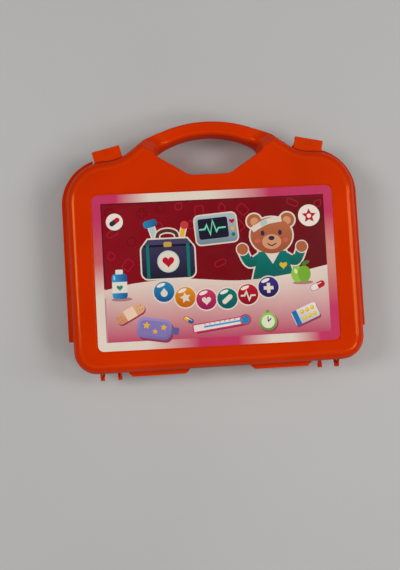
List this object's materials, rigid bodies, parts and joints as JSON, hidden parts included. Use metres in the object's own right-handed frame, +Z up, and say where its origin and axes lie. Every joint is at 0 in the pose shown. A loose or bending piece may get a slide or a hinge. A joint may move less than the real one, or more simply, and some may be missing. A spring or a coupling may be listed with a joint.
{
  "type": "toy doctor case",
  "caption": "Hinged moulded plastic toy carrying case with handle, two shoulder clips, text-free picture label and toy medical tools inside.",
  "frame": {"origin": "on the surface it lies on, under the middle of the closed case's bounding box", "axes": "+X across the case, +Y from the hinged bottom edge towards the carrying handle, +Z up out of the label face; the case lies flat on its back shell"},
  "size_m": [0.2668, 0.227, 0.048],
  "materials": {
    "case_orange": "moulded polypropylene, soft gloss",
    "clip_orange": "moulded polypropylene, soft gloss",
    "label_print": "printed film, satin laminate",
    "toy_pink": "moulded toy plastic, soft gloss",
    "toy_blue": "moulded toy plastic, soft gloss",
    "toy_white": "moulded toy plastic, soft gloss",
    "toy_yellow": "moulded toy plastic, soft gloss",
    "toy_green": "moulded toy plastic, soft gloss",
    "toy_lilac": "moulded toy plastic, soft gloss",
    "toy_teal": "moulded toy plastic, soft gloss",
    "toy_maroon": "moulded toy plastic, soft gloss",
    "mirror_film": "silvered plastic film",
    "hammer_rubber": "soft moulded rubber"
  },
  "bodies": {
    "back": {"back_shell": "case_orange", "stethoscope_headset": "toy_pink", "stethoscope_chestpiece": "toy_blue", "syringe_barrel": "toy_white", "play_glasses": "toy_green", "medicine_bottle": "toy_white", "medicine_cap": "toy_pink", "kidney_tray": "toy_lilac", "pill_bottle": "toy_yellow", "pill_cap": "toy_white", "test_tube": "toy_blue", "tube_stopper": "toy_yellow", "mixing_bowl": "toy_teal", "clipboard": "toy_maroon", "clipboard_clip": "toy_blue", "thermometer": "toy_white", "tweezers": "toy_blue", "mirror_handle": "toy_blue", "mirror_glass": "mirror_film", "hammer_head": "hammer_rubber", "hammer_handle": "toy_yellow", "scissors_lower": "toy_pink"},
    "lid": {"front_shell": "case_orange", "front_label": "label_print"},
    "clip_left": {"left_clip": "clip_orange"},
    "clip_right": {"right_clip": "clip_orange"},
    "plunger": {"syringe_plunger": "toy_yellow"},
    "scissors_half": {"scissors_upper": "toy_yellow"}
  },
  "joints": [
    {"name": "lid_hinge", "type": "hinge", "parent": "back", "child": "lid", "pos_m": [0, -0.1112, 0.024], "axis": [1, 0, 0], "range_deg": [0, 180]},
    {"name": "left_clip_hinge", "type": "hinge", "parent": "back", "child": "clip_left", "pos_m": [-0.08902, 0.08392, 0.01485], "axis": [-0.9759, -0.2181, 0], "range_deg": [0, 90]},
    {"name": "right_clip_hinge", "type": "hinge", "parent": "back", "child": "clip_right", "pos_m": [0.08902, 0.08392, 0.01485], "axis": [-0.9759, 0.2181, 0], "range_deg": [0, 90]},
    {"name": "syringe_slide", "type": "slide", "parent": "back", "child": "plunger", "axis": [1, 0, 0], "range_m": [-0.012, 0.022]},
    {"name": "scissors_pivot", "type": "hinge", "parent": "back", "child": "scissors_half", "pos_m": [-0.083, 0.0308, 0.006], "axis": [0, 0, 1], "range_deg": [0, 20]}
  ]
}
